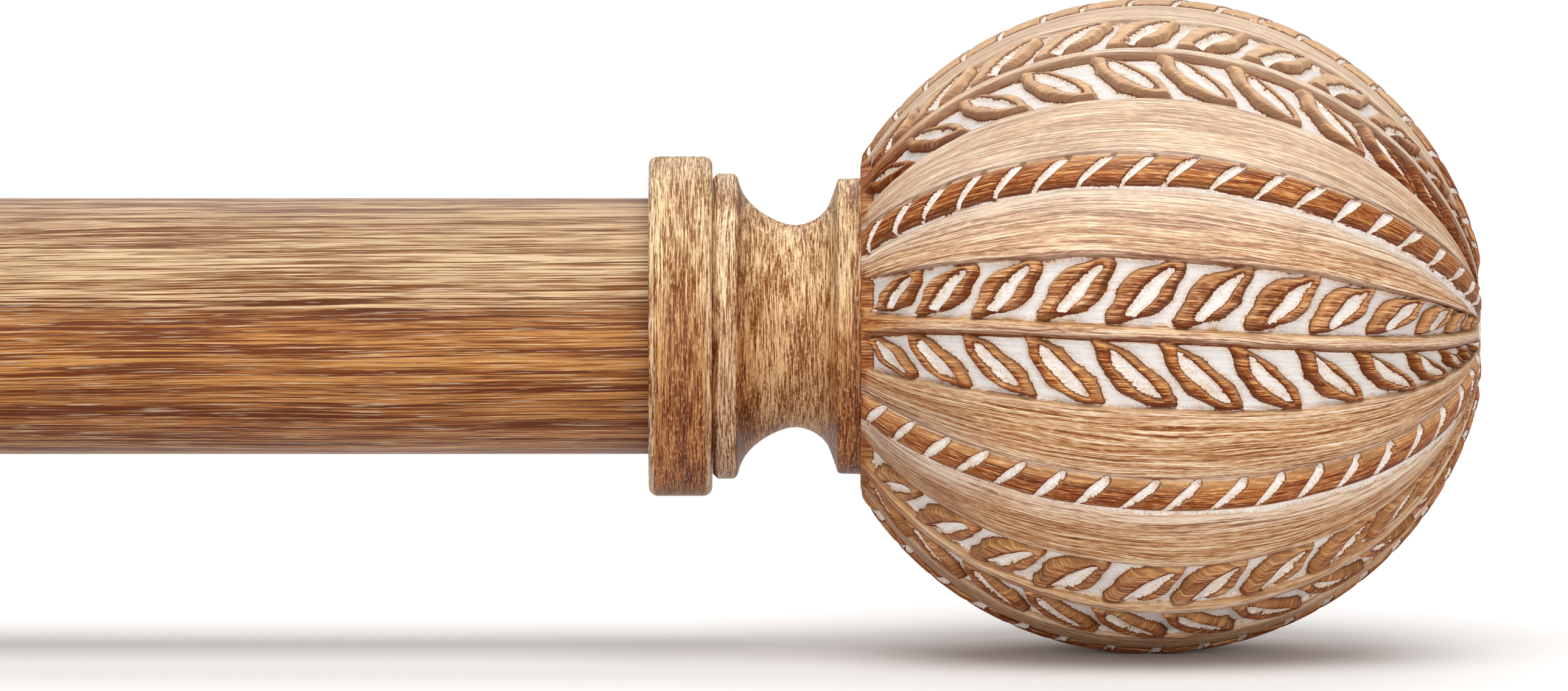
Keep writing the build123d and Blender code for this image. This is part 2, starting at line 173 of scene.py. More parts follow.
# ================================================================ the carved ball: relief
# Relief is worked out on a grid of the ball's two angles, in degrees: the polar angle, 0 at the neck's side
# and 180 at the tip, and the turn across a band, 0 on the band's own middle line. Heights are in millimetres.
BALL_R_MM = 32.2
BALL_HALF_MM = 33.2  # half its length along the rod
TIP_BUTTON_MM = 5.0  # radius of the button at the tip
NECK_ANGLE = 29.9  # polar angle where the ball meets the neck
TIP_ANGLE = 171.1  # polar angle of the tip button's edge
MM_PER_DEGREE = 0.567  # along a meridian
SHELL_MM = 2.5  # depth of a sector's sides
RING_SHARE = 0.82  # inner radius of the ring at the neck's end, as a share of the outer
RECESS = -1.05  # depth of the whitewashed ground between leaves
GORE = -0.28  # level of the plain gores
GORE_BULGE = 0.14  # extra height in a gore's middle
LEAF_CREST = 1.02  # height of a leaf's rim above the ground
LEAF_HOLLOW = 0.62  # depth of its hollow below the rim
LEAF_PITCH = 12.3  # degrees
BAND_EDGE = 12.9  # turn of a laurel band's edge, in degrees
BAND_MM = 6.5  # a leaf's reach across the band, in its own outline
LAUREL_HALF = 16.0  # half the turn that a laurel sector covers
ROPE_HALF = 14.0
TURNED_UP = 2.4  # turn of the front band above the horizontal, in degrees
TWIST = 0.054  # degrees of turn for each degree from the neck to the tip
TWIST_BEND = 0.0003  # how much the twist grows from the ball's middle
OUTSIDE = -3.0  # distance to an outline, where nothing nearer has been found
LAUREL_GRID = (430, 96)  # points along a sector and across it
ROPE_GRID = (430, 84)

# Outlines in millimetres: along the band towards the tip, and out from the rib. Each has a near edge, from
# the root to the outer end, and a far edge, back to the root. Leaves above and below a rib differ a little.
LEAF_ABOVE = (
    ((-0.6, -0.6), (0.3, 1.6), (0.85, 3.4), (2.2, 5.3), (3.8, 6.2), (6.0, 6.7)),
    ((7.9, 6.9), (7.5, 5.3), (7.1, 4.1), (6.3, 2.4), (5.1, 1.1), (2.8, 0.2)),
)
LEAF_BELOW = (
    ((-0.6, -0.7), (0.2, 1.5), (1.05, 3.4), (2.5, 5.2), (4.4, 6.3), (6.3, 6.75)),
    ((7.95, 6.75), (7.85, 5.5), (6.9, 3.9), (5.4, 2.3), (3.5, 0.9), (1.5, -0.3)),
)
HOLLOW_ABOVE = (
    ((1.5, 0.2), (2.4, 2.2), (3.9, 4.2), (5.1, 5.5), (6.3, 6.1)),
    ((6.5, 5.6), (5.5, 3.9), (4.1, 2.1), (2.9, 0.4)),
)
HOLLOW_BELOW = (
    ((0.9, -0.1), (1.6, 2.1), (2.8, 3.9), (4.4, 5.2), (6.7, 6.1)),
    ((6.9, 5.5), (5.7, 4.0), (4.2, 2.4), (2.2, 0.4)),
)


def smooth(low, high, x):
    """0 below low, 1 above high, and a smooth step between."""
    s = np.clip((x - low) / (high - low), 0.0, 1.0)
    return s * s * (3 - 2 * s)


def gap_mm(polar):
    """Millimetres across the ball's bands for one degree of turn."""
    return np.radians(1.0) * BALL_R_MM * np.sin(np.radians(polar))


def rounded(near, far):
    """A closed outline with its corners cut, twice over."""
    line = np.array([*near, *far])
    for share in (0.18, 0.25):
        after = np.roll(line, -1, axis=0)
        line = np.stack([(1 - share) * line + share * after, share * line + (1 - share) * after], axis=1)
        line = line.reshape(-1, 2)
    return line


def inside_mm(x, y, line):
    """Distance to a closed outline, positive inside it."""
    start = line
    way = np.roll(line, -1, axis=0) - start
    px, py = x[:, None] - start[:, 0], y[:, None] - start[:, 1]
    along = np.clip((px * way[:, 0] + py * way[:, 1]) / (way**2).sum(1), 0.0, 1.0)
    gap = np.hypot(px - along * way[:, 0], py - along * way[:, 1]).min(1)
    crosses = (py < 0) != (py < way[:, 1])
    slope = np.where(way[:, 1] == 0, 1e-9, way[:, 1])
    passed = (crosses & (px < py * way[:, 0] / slope)).sum(1)
    return np.where(passed % 2 == 1, gap, -gap)


def tighter(at, full):
    """How much a pattern closes up at a polar angle towards the tip."""
    return min(1.0, math.sin(math.radians(at)) / full)


def leaf_starts(first):
    """The polar angle of each leaf's root, closer together towards the tip."""
    starts = []
    at = first
    while at < TIP_ANGLE - 5:
        starts.append(at)
        at += LEAF_PITCH * tighter(at + 4, 0.66)
    return starts


def wander(values, seed, wavelength, amount):
    """A slow seeded wave that stands for an uneven hand."""
    draw = np.random.default_rng(seed)
    total = np.zeros_like(values)
    for octave in (1.0, 2.3, 4.1):
        total += np.sin(values / wavelength * 2 * math.pi * octave + draw.uniform(0, 6.3)) / octave
    return amount * total / 1.6


def gore_level(off_rope):
    """Height of a plain gore, a little fuller in its middle, by its turn from the rope's middle."""
    return GORE + GORE_BULGE * np.sin(np.pi * np.clip((off_rope - 3.6) / 13.4, 0, 1))


def leaf_depths(polar, turn, out_mm, draw):
    """Distances in millimetres inside the nearest leaf's outline, and inside the hollow in that leaf."""
    leaf = np.full(polar.shape, OUTSIDE)
    hollow = np.full(polar.shape, OUTSIDE)
    for side, first, leaf_form, hollow_form, slope, shrink in (
        (turn > 0, 33.4, LEAF_ABOVE, HOLLOW_ABOVE, 0.75, -0.09),
        (turn <= 0, 31.6, LEAF_BELOW, HOLLOW_BELOW, 0.45, 0.15),
    ):
        leaf_line, hollow_line = rounded(*leaf_form), rounded(*hollow_form)
        # The wash thins out slowly from the hollow's near edge, so this outline's far edge is moved away.
        near_line = rounded(hollow_form[0], [(x + 4.0, y) for x, y in hollow_form[1]])
        for start in leaf_starts(first):
            stretch = tighter(start + 4, 0.66) * draw.uniform(0.96, 1.02)
            lean = draw.uniform(-0.06, 0.06)
            along = (polar - start - draw.uniform(-0.5, 0.5)) * MM_PER_DEGREE / stretch
            deep = draw.uniform(0.0, 0.12)
            near = side & (along > -2) & (along < 10) & (out_mm > -1.5) & (out_mm < 8)
            x = along[near] - lean * out_mm[near] + 0.12 * np.sin(out_mm[near] * 1.9 + start)
            y = out_mm[near] + 0.10 * np.sin(along[near] * 1.7 + start * 2)
            body = inside_mm(x, y, leaf_line)
            inner = inside_mm(x, y, hollow_line) - shrink
            thin = slope * inside_mm(x, y, near_line) - deep
            inner = np.minimum(inner, np.where(inner > 0, thin, inner))
            beats = body > leaf[near]
            leaf[near] = np.where(beats, body, leaf[near])
            hollow[near] = np.where(beats, inner, hollow[near])
    return leaf, hollow


def laurel_relief(polar, turn, seed):
    """Height and paint of a laurel band: a rib with hollow leaves on both sides, in a whitewashed ground."""
    draw = np.random.default_rng(seed)
    mm = gap_mm(polar)
    by_neck = np.exp(-(polar - NECK_ANGLE) / 9.0)
    rib_mm = 0.80 + 0.75 * by_neck + wander(polar, seed, 60.0, 0.06)
    off_rib = np.abs(turn) * mm
    rib = 1 - smooth(0.35, 1.0, off_rib / rib_mm / 1.15)
    edge = BAND_EDGE + 3.0 * by_neck + 1.2 * smooth(150, 168, polar)
    edge = edge + wander(polar + 200 * (turn > 0), seed + 1, 34.0, 0.25)
    root = rib_mm / mm + 0.75
    out_mm = (np.abs(turn) - root) / (edge - root) * BAND_MM
    leaf, hollow = leaf_depths(polar, turn, out_mm, draw)

    ground = smooth(edge - 0.1, edge + 1.0, np.abs(turn))
    height = RECESS + (gore_level(30.0 - np.abs(turn)) - RECESS) * ground
    crest = smooth(-0.05, 0.40, leaf) * (LEAF_CREST - 0.12 + 0.12 * smooth(0.2, 0.8, leaf))
    crest = crest - LEAF_HOLLOW * smooth(-0.25, 0.35, hollow) * smooth(0.0, 0.35, leaf)
    height = np.maximum(height, RECESS + crest)
    height = np.maximum(height, RECESS - 0.05 + 0.98 * np.sqrt(np.clip(rib, 0, 1)))

    # Painted shade: a dark line along the rib's lower side.
    shade_under_rib = smooth(0.28, 0.06, np.abs(-turn * mm - rib_mm * 0.95)) * smooth(2, 8, polar - NECK_ANGLE)
    white = np.minimum(np.maximum(-leaf, hollow), (edge + 0.5 - np.abs(turn)) * mm)
    beside = off_rib - rib_mm * 0.95
    white = np.minimum(white, np.where(turn > 0, beside * 0.8, beside)) - 0.16 * shade_under_rib
    # Red past 0.95 becomes painted shade in the material: at the leaves' rims and under the rib.
    red_at_rim = 0.42 * smooth(0.5, 0.0, leaf) + 0.28 * smooth(-0.4, 0.0, hollow)
    red = smooth(-0.5, 0.05, leaf) * (np.where(turn > 0, 0.62, 0.92) + red_at_rim) * (1 - ground)
    red = np.maximum(red, rib * (0.08 + np.exp(-(polar - NECK_ANGLE) / 13.0)))
    red = np.maximum(red, (1.0 + 0.4 * by_neck) * shade_under_rib)
    beyond = np.maximum(np.abs(turn) - edge, 0.0) * mm
    film = 0.50 * ground * np.exp(-beyond / 0.8) * smooth(LAUREL_HALF, 14.6, np.abs(turn))
    film = np.maximum(film, smooth(1.0, 0.4, off_rib / rib_mm) * (0.32 - by_neck))
    return height, white, np.clip(red, 0, 2), np.clip(film, 0, 1)


def rope_relief(polar, turn, seed):
    """Height and paint of a rope band: a raised cord with slanting white nicks, between two plain gores."""
    draw = np.random.default_rng(seed)
    mm = gap_mm(polar)
    bend = wander(polar, seed, 80.0, 0.35)
    off = (turn + bend * smooth(14, 10, np.abs(turn))) * mm
    half = 1.75 * np.clip(0.72 + 0.28 * np.sin(np.radians(polar)), 0, 1)
    cord = smooth(0.0, 0.5, half - np.abs(off))
    height = gore_level(np.abs(turn)) + 0.62 * cord * (1 - 0.50 * (off / half) ** 2)
    gutter_mm = 0.34 + 0.60 * smooth(60, 150, polar) + wander(polar, seed + 5, 22.0, 0.12)
    below = -off - half
    gutter = np.minimum(below + 0.1, gutter_mm - below)
    above = off - half
    height = height - 0.32 * smooth(-0.1, 0.35, gutter) - 0.12 * np.exp(-(((above - 0.1) / 0.2) ** 2))
    nick = np.full(polar.shape, OUTSIDE)
    at = 34.0 + draw.uniform(-0.5, 0.5)
    while at < TIP_ANGLE - 3:
        lean = 0.95 + draw.uniform(-0.12, 0.12)
        along = (polar - at) * MM_PER_DEGREE - lean * (off + 0.2)
        reach = np.clip(1 - (off / (half + 0.1)) ** 2, 0, 1)
        width = 0.55 * (0.72 + 0.28 * np.clip(off / half, -1, 1)) * draw.uniform(0.85, 1.15)
        mark = width * np.sqrt(reach) - np.abs(along) * 0.72
        nick = np.maximum(nick, np.where(reach > 0, mark, OUTSIDE))
        at += 7.7 * min(1.0, math.sin(math.radians(at)) / 0.62 + 0.12) + draw.uniform(-0.5, 0.5)
    height = height - 0.45 * smooth(-0.15, 0.25, nick)
    white = np.maximum(nick + 0.05, gutter * 0.8 - 0.02)
    # Painted shade: dark lines along the cord's edges, where it meets the gores.
    edge_shade = smooth(0.35, 0.05, np.abs(np.abs(off) - half)) * smooth(0.5, -0.3, nick)
    red = cord * 0.92 + 0.60 * edge_shade
    film = 0.65 * np.exp(-np.maximum(below - gutter_mm, 0) / 1.1) * (below > 0)
    film = np.maximum(film, 0.50 * np.exp(-above / 0.7) * (above > 0))
    return height, white, np.clip(red, 0, 2), film * smooth(ROPE_HALF, 9.0, np.abs(turn))


def on_ball(polar, azimuth, height, mid_x, way):
    """Points on the ball in the CAD frame, in metres, lifted along its surface's own normal."""
    theta, round_about = np.radians(polar), np.radians(azimuth)
    normal_x = -np.cos(theta) / BALL_HALF_MM
    normal_r = np.sin(theta) / BALL_R_MM
    length = np.hypot(normal_x, normal_r)
    along = -BALL_HALF_MM * np.cos(theta) + height * normal_x / length
    radius = BALL_R_MM * np.sin(theta) + height * normal_r / length
    towards, rise = radius * np.cos(round_about), radius * np.sin(round_about)
    return np.stack([mid_x * 1000 + way * along, ROD_Y * 1000 - towards, rise], axis=-1) / 1000


def closed_mesh(name, points, quads, caps, way):
    """A mesh from quads and two end caps, with every face turned over where way is negative."""
    faces = [list(face) for face in caps]
    if way < 0:
        quads = quads[:, ::-1]
        faces = [face[::-1] for face in faces]
    sizes = np.array([4] * len(quads) + [len(face) for face in faces])
    loops = np.concatenate([quads.ravel(), *[np.array(face) for face in faces]])
    mesh = bpy.data.meshes.new(name)
    mesh.vertices.add(len(points))
    mesh.vertices.foreach_set("co", points.astype(np.float32).ravel())
    mesh.loops.add(len(loops))
    mesh.loops.foreach_set("vertex_index", loops.astype(np.int32))
    mesh.polygons.add(len(sizes))
    mesh.polygons.foreach_set("loop_start", (np.cumsum(sizes) - sizes).astype(np.int32))
    mesh.update(calc_edges=True)
    return mesh, loops


def keep(mesh, label, shown, *columns):
    """Keeps three numbers at every point for the material. Points after the shown ones get zeros."""
    values = np.zeros((len(mesh.vertices), 3), dtype=np.float32)
    values[:shown] = np.stack([column.ravel() for column in columns], -1)
    mesh.attributes.new(label, "FLOAT_VECTOR", "POINT").data.foreach_set("vector", values.ravel())


def shell_faces(rows, columns):
    """Quads and end caps of a shell: its outer grid of points comes first, then two inner points to a row."""
    front = np.arange(rows * columns).reshape(rows, columns)
    deep = rows * columns + np.arange(rows * 2).reshape(rows, 2)
    a, b, c, d = front[:-1, :-1], front[1:, :-1], front[1:, 1:], front[:-1, 1:]
    quads = [
        np.stack([a, b, c, d], -1).reshape(-1, 4),
        np.stack([deep[:-1, 0], deep[:-1, 1], deep[1:, 1], deep[1:, 0]], -1),
        np.stack([front[:-1, 0], deep[:-1, 0], deep[1:, 0], front[1:, 0]], -1),
        np.stack([front[:-1, -1], front[1:, -1], deep[1:, 1], deep[:-1, 1]], -1),
    ]
    caps = (
        [*front[0, :].tolist(), int(deep[0, 1]), int(deep[0, 0])],
        [*front[-1, ::-1].tolist(), int(deep[-1, 0]), int(deep[-1, 1])],
    )
    return np.concatenate(quads), caps


def lean_upward(normals, azimuth):
    """How far the relief tips each face upward, from -1 to 1."""
    round_about = np.radians(azimuth)
    along_turn = normals[..., 1] * np.sin(round_about) + normals[..., 2] * np.cos(round_about)
    return np.clip(along_turn * np.cos(round_about), -1, 1)


def sector_mesh(name, kind, seed, middle, half, mid_x, way, grid):
    """One sector of the ball as a closed shell, with its relief, its paint attributes and its own grain."""
    rows, columns = grid
    step_p, step_a = (TIP_ANGLE - NECK_ANGLE) / (rows - 1), 2 * half / (columns - 1)
    # One more row and column on each side give every shown point a slope from the neighbours on both sides.
    polar = NECK_ANGLE + step_p * (np.arange(rows + 2) - 1)[:, None] * np.ones((1, columns + 2))
    turn = np.ones((rows + 2, 1)) * (-half + step_a * (np.arange(columns + 2) - 1))[None, :]
    past_middle = polar - 90
    azimuth = middle + turn + TURNED_UP - TWIST * past_middle - TWIST_BEND * past_middle**2
    height, white, red, film = kind(polar, turn, seed)
    height = GORE + (height - GORE) * smooth(TIP_ANGLE, TIP_ANGLE - 4.0, polar)
    height = height * smooth(0.0, 1.8, polar - NECK_ANGLE)
    white = np.minimum(white, (polar - NECK_ANGLE - 1.5) * MM_PER_DEGREE)
    # Next to the neck the paint turns redder, with a little painted shade where the ball meets the neck.
    red = np.maximum(red, 1.1 * smooth(2.6, 0.3, polar - NECK_ANGLE))
    every = on_ball(polar, azimuth, height, mid_x, way)
    up = every[2:, 1:-1] - every[:-2, 1:-1]
    over = every[1:-1, 2:] - every[1:-1, :-2]
    normals = np.cross(up, over) * way
    normals /= np.linalg.norm(normals, axis=-1, keepdims=True)
    shown = (slice(1, -1), slice(1, -1))
    outer = every[shown]
    polar, turn, azimuth = polar[shown], turn[shown], azimuth[shown]
    height, white, red, film = height[shown], white[shown], red[shown], film[shown]
    inner = on_ball(polar[:, [0, -1]], azimuth[:, [0, -1]], np.full((rows, 2), -SHELL_MM), mid_x, way)
    inner[0] = outer[0, [0, -1]]  # the neck's end is a flat ring
    inner[0, :, 1:] = inner[0, :, 1:] * RING_SHARE + np.array([ROD_Y, 0.0]) * (1 - RING_SHARE)

    points = np.concatenate([outer.reshape(-1, 3), inner.reshape(-1, 3)])
    mesh, loops = closed_mesh(name, points, *shell_faces(rows, columns), way)
    outer_faces = (rows - 1) * (columns - 1)
    mesh.polygons.foreach_set("use_smooth", np.arange(len(mesh.polygons)) < outer_faces)
    custom = np.zeros((len(loops), 3), dtype=np.float32)
    custom[: outer_faces * 4] = normals.reshape(-1, 3)[loops[: outer_faces * 4]]
    mesh.normals_split_custom_set(custom.tolist())
    lean = lean_upward(normals, azimuth)
    across = (middle + turn) * MM_PER_DEGREE
    keep(mesh, "paint", rows * columns, np.clip(white, -1, 1), red, height)
    keep(mesh, "lean", rows * columns, lean, film, np.zeros_like(lean))
    keep(mesh, "grain", rows * columns, polar * MM_PER_DEGREE, across, np.full_like(polar, seed * 7.3))
    return mesh


def tip_button(name, mid_x, way, rings=14, spokes=96):
    """The low worn button that closes the ball's tip."""
    radius = np.linspace(TIP_BUTTON_MM + 0.05, 0.25, rings)[:, None] * np.ones((1, spokes))
    turn = np.ones((rings, 1)) * np.linspace(0, 2 * np.pi, spokes, endpoint=False)[None, :]
    petals = np.cos(6 * turn + 0.5)
    share = radius / TIP_BUTTON_MM
    rise = 0.30 * (1 - share**2) - 0.16 * np.exp(-(((share - 0.78) / 0.10) ** 2))
    rise = rise + 0.10 * petals * np.exp(-(((share - 0.5) / 0.25) ** 2))
    rim = BALL_HALF_MM * math.cos(math.asin(TIP_BUTTON_MM / BALL_R_MM)) + GORE
    along = rim + rise - 0.05
    place = [mid_x * 1000 + way * along, ROD_Y * 1000 - radius * np.cos(turn), radius * np.sin(turn)]
    outer = np.stack(place, -1) / 1000
    back = outer[0].copy()
    back[:, 0] -= way * SHELL_MM / 1000
    points = np.concatenate([outer.reshape(-1, 3), back])
    front = np.arange(rings * spokes).reshape(rings, spokes)
    deep = rings * spokes + np.arange(spokes)
    after = np.roll(front, -1, axis=1)
    quads = [
        np.stack([front[:-1], front[1:], after[1:], after[:-1]], -1).reshape(-1, 4),
        np.stack([deep, front[0], after[0], np.roll(deep, -1)], -1),
    ]
    caps = (front[-1].tolist(), deep[::-1].tolist())
    mesh, loops = closed_mesh(name, points, np.concatenate(quads), caps, -way)
    mesh.polygons.foreach_set("use_smooth", np.arange(len(mesh.polygons)) < (rings - 1) * spokes)
    white = 0.35 * petals * smooth(0.9, 0.6, share) + 0.5 * np.exp(-(((share - 0.8) / 0.12) ** 2)) - 0.1
    keep(mesh, "paint", rings * spokes, white, np.full_like(share, 0.6), rise)
    keep(mesh, "lean", rings * spokes, *np.zeros((3, *share.shape)))
    keep(mesh, "grain", rings * spokes, radius * 1.3, turn * 3.0, np.full_like(share, 4.0 * way))
    return mesh


def carved_ball(side, way, material):
    """The ball's six laurel sectors and six rope sectors, and the button at its tip."""
    node = f"{side}_finial_ball"
    low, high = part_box(node)
    tip = high[0] if way > 0 else low[0]
    mid_x = tip - way * BALL_HALF_MM / 1000 * math.sqrt(1 - (TIP_BUTTON_MM / BALL_R_MM) ** 2)
    meshes = [tip_button(f"{side}_ball_tip", mid_x, way)]
    for index in range(6):
        for kind, name, offset, half, grid in (
            (laurel_relief, "laurel", 0.0, LAUREL_HALF, LAUREL_GRID),
            (rope_relief, "rope", 30.0, ROPE_HALF, ROPE_GRID),
        ):
            seed = 100 * index + (7 if name == "rope" else 3) + (0 if way > 0 else 50)
            label = f"{side}_ball_{name}_{index + 1}"
            meshes.append(sector_mesh(label, kind, seed, 60.0 * index + offset, half, mid_x, way, grid))
    for mesh in meshes:
        piece = bpy.data.objects.new(mesh.name, mesh)
        bpy.context.collection.objects.link(piece)
        mesh.materials.append(material)
        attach(piece, f"{side}_finial")
        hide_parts(node)


# ================================================================ materials
# Linear colours. The first two are factors, by which a streak darkens or lightens the colour below it.
DARK_STREAK = (0.42, 0.23, 0.09)
LIGHT_STREAK = (1.60, 1.95, 2.45)
PORE = (0.085, 0.026, 0.008)
GOLD_FLECK = (0.92, 0.76, 0.52)
GORE_TONES = [  # from the darkest streak to the lightest
    (0.00, (0.19, 0.052, 0.012)),
    (0.22, (0.37, 0.142, 0.045)),
    (0.52, (0.57, 0.305, 0.140)),
    (0.78, (0.73, 0.490, 0.280)),
    (1.00, (0.88, 0.740, 0.540)),
]
LEAF_TONES = [
    (0.00, (0.095, 0.013, 0.002)),
    (0.35, (0.230, 0.048, 0.007)),
    (0.66, (0.400, 0.120, 0.023)),
    (1.00, (0.720, 0.350, 0.110)),
]
# Painted shade: in creases, low on the ball, near the neck, on faces that tip down and round the wash.
PAINTED_SHADE = (0.11, 0.022, 0.004)
WHITEWASH = (0.90, 0.865, 0.84)
# Whitewash in painted shade, for the deep ground.
WASH_IN_SHADE = (0.76, 0.735, 0.715)
STAIN = (0.72, 0.50, 0.31)  # whitewash that the brown has bled into
CRACK = (0.50, 0.27, 0.12)
GORE_TOP_HIGHLIGHT = (0.84, 0.77, 0.66)  # painted highlight on plain gores near the ball's top
CARVING_TOP_HIGHLIGHT = (0.96, 0.72, 0.46)  # painted highlight on carving near the ball's top
FILM = (0.90, 0.80, 0.68)  # thin whitewash left on the plain wood beside a groove, and on the ribs
UPTURNED_HIGHLIGHT = (0.80, 0.47, 0.20)  # painted highlight on relief that tips upward


def grain(t, along, across, seed, length_mm, width_mm, detail=2.0):
    """Streaks of that length and width along the grain, spread over 0 to 1."""
    place = t.vector(t.math("DIVIDE", along, length_mm), t.math("DIVIDE", across, width_mm), seed)
    return t.span(t.noise(place, 1.0, detail, 0.6), 0.35, 0.65, smooth=False)


def swayed(t, along, across, seed, reach_mm, by_mm):
    """The coordinate across the grain, pushed to and fro so that the streaks aren't ruled lines."""
    place = t.vector(t.math("DIVIDE", along, reach_mm), t.math("DIVIDE", across, reach_mm / 5), seed)
    return t.math("MULTIPLY_ADD", t.math("SUBTRACT", t.noise(place, 1.0, 2.0, 0.5), 0.5), by_mm, across)


def flecked(t, colour, flecks, bright, dark):
    """Rare gold and dark specks, each with its own strength."""
    colour = t.mix(t.span(flecks, 0.76, 0.95, 0.0, bright), colour, (*GOLD_FLECK, 1))
    return t.mix(t.span(flecks, 0.24, 0.05, 0.0, dark), colour, (*PORE, 1))


def blend(t, *weighted, spread):
    """A weighted sum of (value, weight) pairs round 0.5, with that spread pulled out to the full 0 to 1."""
    total = 0.0
    for value, weight in weighted:
        total = t.math("MULTIPLY_ADD", value, weight, total)
    return t.span(total, 0.5 - spread, 0.5 + spread, smooth=False)


def streaked(t, base, tone):
    """A base colour under dark and light streaks."""
    dark = t.mix(1.0, base, (*DARK_STREAK, 1), "MULTIPLY")
    light = t.mix(1.0, base, (*LIGHT_STREAK, 1), "MULTIPLY")
    colour = t.mix(t.span(tone, 0.50, 0.15), base, dark)
    return t.mix(t.span(tone, 0.52, 0.95), colour, light)


def carved_wood(t, along, tone, flecks, red, lean, film):
    """The painted relief without its whitewash: plain gores, redder leaves, and painted highlight and shade.
    """
    wood = t.mix(t.span(red, 0.0, 0.9, smooth=False), t.ramp(tone, GORE_TONES), t.ramp(tone, LEAF_TONES))
    wood = flecked(t, wood, flecks, 0.25, 0.20)
    # Painted shade in creases, where red runs past 0.95.
    wood = t.mix(t.math("MULTIPLY", t.span(red, 0.95, 1.6), 0.85), wood, (*PAINTED_SHADE, 1))
    place = t.node("ShaderNodeTexCoord").outputs["Object"]
    level = t.node("ShaderNodeSeparateXYZ", {0: place}).outputs[2]
    up = t.span(level, -BALL_R_MM / 1000, BALL_R_MM / 1000)
    bare = t.span(red, 0.30, 0.05)
    carved = t.math("SUBTRACT", 1.0, bare)
    # Painted highlight: plain gores, then the carving, turn paler towards the ball's top.
    wood = t.mix(t.math("MULTIPLY", t.span(up, 0.60, 0.90, 0.0, 0.28), bare), wood, (*GORE_TOP_HIGHLIGHT, 1))
    wood = t.mix(t.math("MULTIPLY", t.span(up, 0.84, 0.96, 0.0, 0.46), carved), wood, (*CARVING_TOP_HIGHLIGHT, 1))
    # Painted shade: darker towards the ball's bottom.
    wood = t.mix(t.math("MULTIPLY", t.span(up, 0.5, 0.1), 0.16), wood, (*PAINTED_SHADE, 1))
    # Painted shade: the plain gores below the middle turn darker near the neck.
    by_neck = t.math("MULTIPLY", t.span(along, 38.0, 28.0, 0.0, 0.34), t.span(up, 0.44, 0.32))
    wood = t.mix(t.math("MULTIPLY", by_neck, bare), wood, (*PAINTED_SHADE, 1))
    film = t.math("MULTIPLY", film, t.span(tone, 0.10, 0.65, 0.25, 1.0))
    wood = t.mix(film, wood, (*FILM, 1))
    # Painted highlight on relief that tips up, and painted shade on relief that tips down.
    wood = t.mix(t.span(lean, 0.05, 0.40, 0.0, 0.30), wood, (*UPTURNED_HIGHLIGHT, 1))
    return t.mix(t.span(lean, -0.05, -0.40, 0.0, 0.60), wood, (*PAINTED_SHADE, 1))


def carved_material():
    """Antiqued resin: streaky brown relief with whitewash left in the hollows."""
    t = Tree("carved_resin")
    white, red, height = t.attribute("paint")
    lean, film, _ = t.attribute("lean")
    along, across, seed = t.attribute("grain")
    across = swayed(t, along, across, seed, 18.0, 1.6)
    fine = grain(t, along, across, seed, 8.0, 0.15)
    middle = grain(t, along, across, t.math("ADD", seed, 2.0), 16.0, 0.34)
    broad = grain(t, along, across, t.math("ADD", seed, 3.0), 24.0, 1.4)
    flecks = grain(t, along, across, t.math("ADD", seed, 5.0), 1.3, 0.16)
    speck = t.noise(t.vector(along, across, seed), 2.6, 3.0, 0.6)
    patches = t.noise(t.vector(along, across, t.math("ADD", seed, 9.0)), 0.85, 3.0, 0.55)
    tone = blend(t, (fine, 0.42), (middle, 0.27), (broad, 0.13), (flecks, 0.18), spread=0.27)
    wood = carved_wood(t, along, tone, flecks, red, lean, film)

    # The wash is the distance inside the white, with a toothed edge and worn patches.
    teeth = t.math("ADD", t.math("MULTIPLY", fine, 0.06), t.math("MULTIPLY", flecks, 0.06))
    teeth = t.math("MULTIPLY_ADD", speck, 0.12, teeth)
    wash = t.math("ADD", white, t.math("SUBTRACT", teeth, 0.13))
    wash = t.math("SUBTRACT", wash, t.span(patches, 0.55, 0.75, 0.0, 0.24))
    # Painted shade: the whitewash turns greyer the deeper it lies.
    depth_shade = t.math("MULTIPLY", t.span(height, -0.3, -1.0), t.span(middle, 0.1, 0.9, 0.35, 1.0))
    chalk = t.mix(depth_shade, (*WHITEWASH, 1), (*WASH_IN_SHADE, 1))
    stain = t.math("MULTIPLY", t.span(wash, 0.50, 0.0), t.span(patches, 0.30, 0.60, 0.15, 0.80))
    chalk = t.mix(t.math("MULTIPLY", stain, t.span(middle, 0.0, 1.0, 0.3, 1.0)), chalk, (*STAIN, 1))
    crack = t.span(t.math("ABSOLUTE", t.math("SUBTRACT", speck, 0.5)), 0.028, 0.006)
    near_edge = t.span(wash, 0.70, 0.10, 0.05, 0.75)
    chalk = t.mix(t.math("MULTIPLY", crack, near_edge), chalk, (*CRACK, 1))
    chalk = t.mix(t.span(flecks, 0.74, 0.96, 0.0, 0.42), chalk, (*STAIN, 1))

    colour = t.mix(t.span(wash, -0.03, 0.06), wood, chalk)
    # Painted shade: a dark line just outside the wash's edge, stronger on redder relief.
    outline = t.math("MULTIPLY", t.span(wash, -0.16, -0.03), t.span(wash, 0.05, -0.02))
    outline = t.math("MULTIPLY", outline, t.span(red, 0.1, 0.6, 0.15, 0.80))
    colour = t.mix(outline, colour, (*PAINTED_SHADE, 1))
    normal = t.bump(fine, 0.30, 0.00010)
    normal = t.bump(crack, 0.25, -0.00008, normal)
    return t.finish(colour, t.span(wash, -0.1, 0.2, 0.50, 0.65), normal, Specular_IOR_Level=0.14)


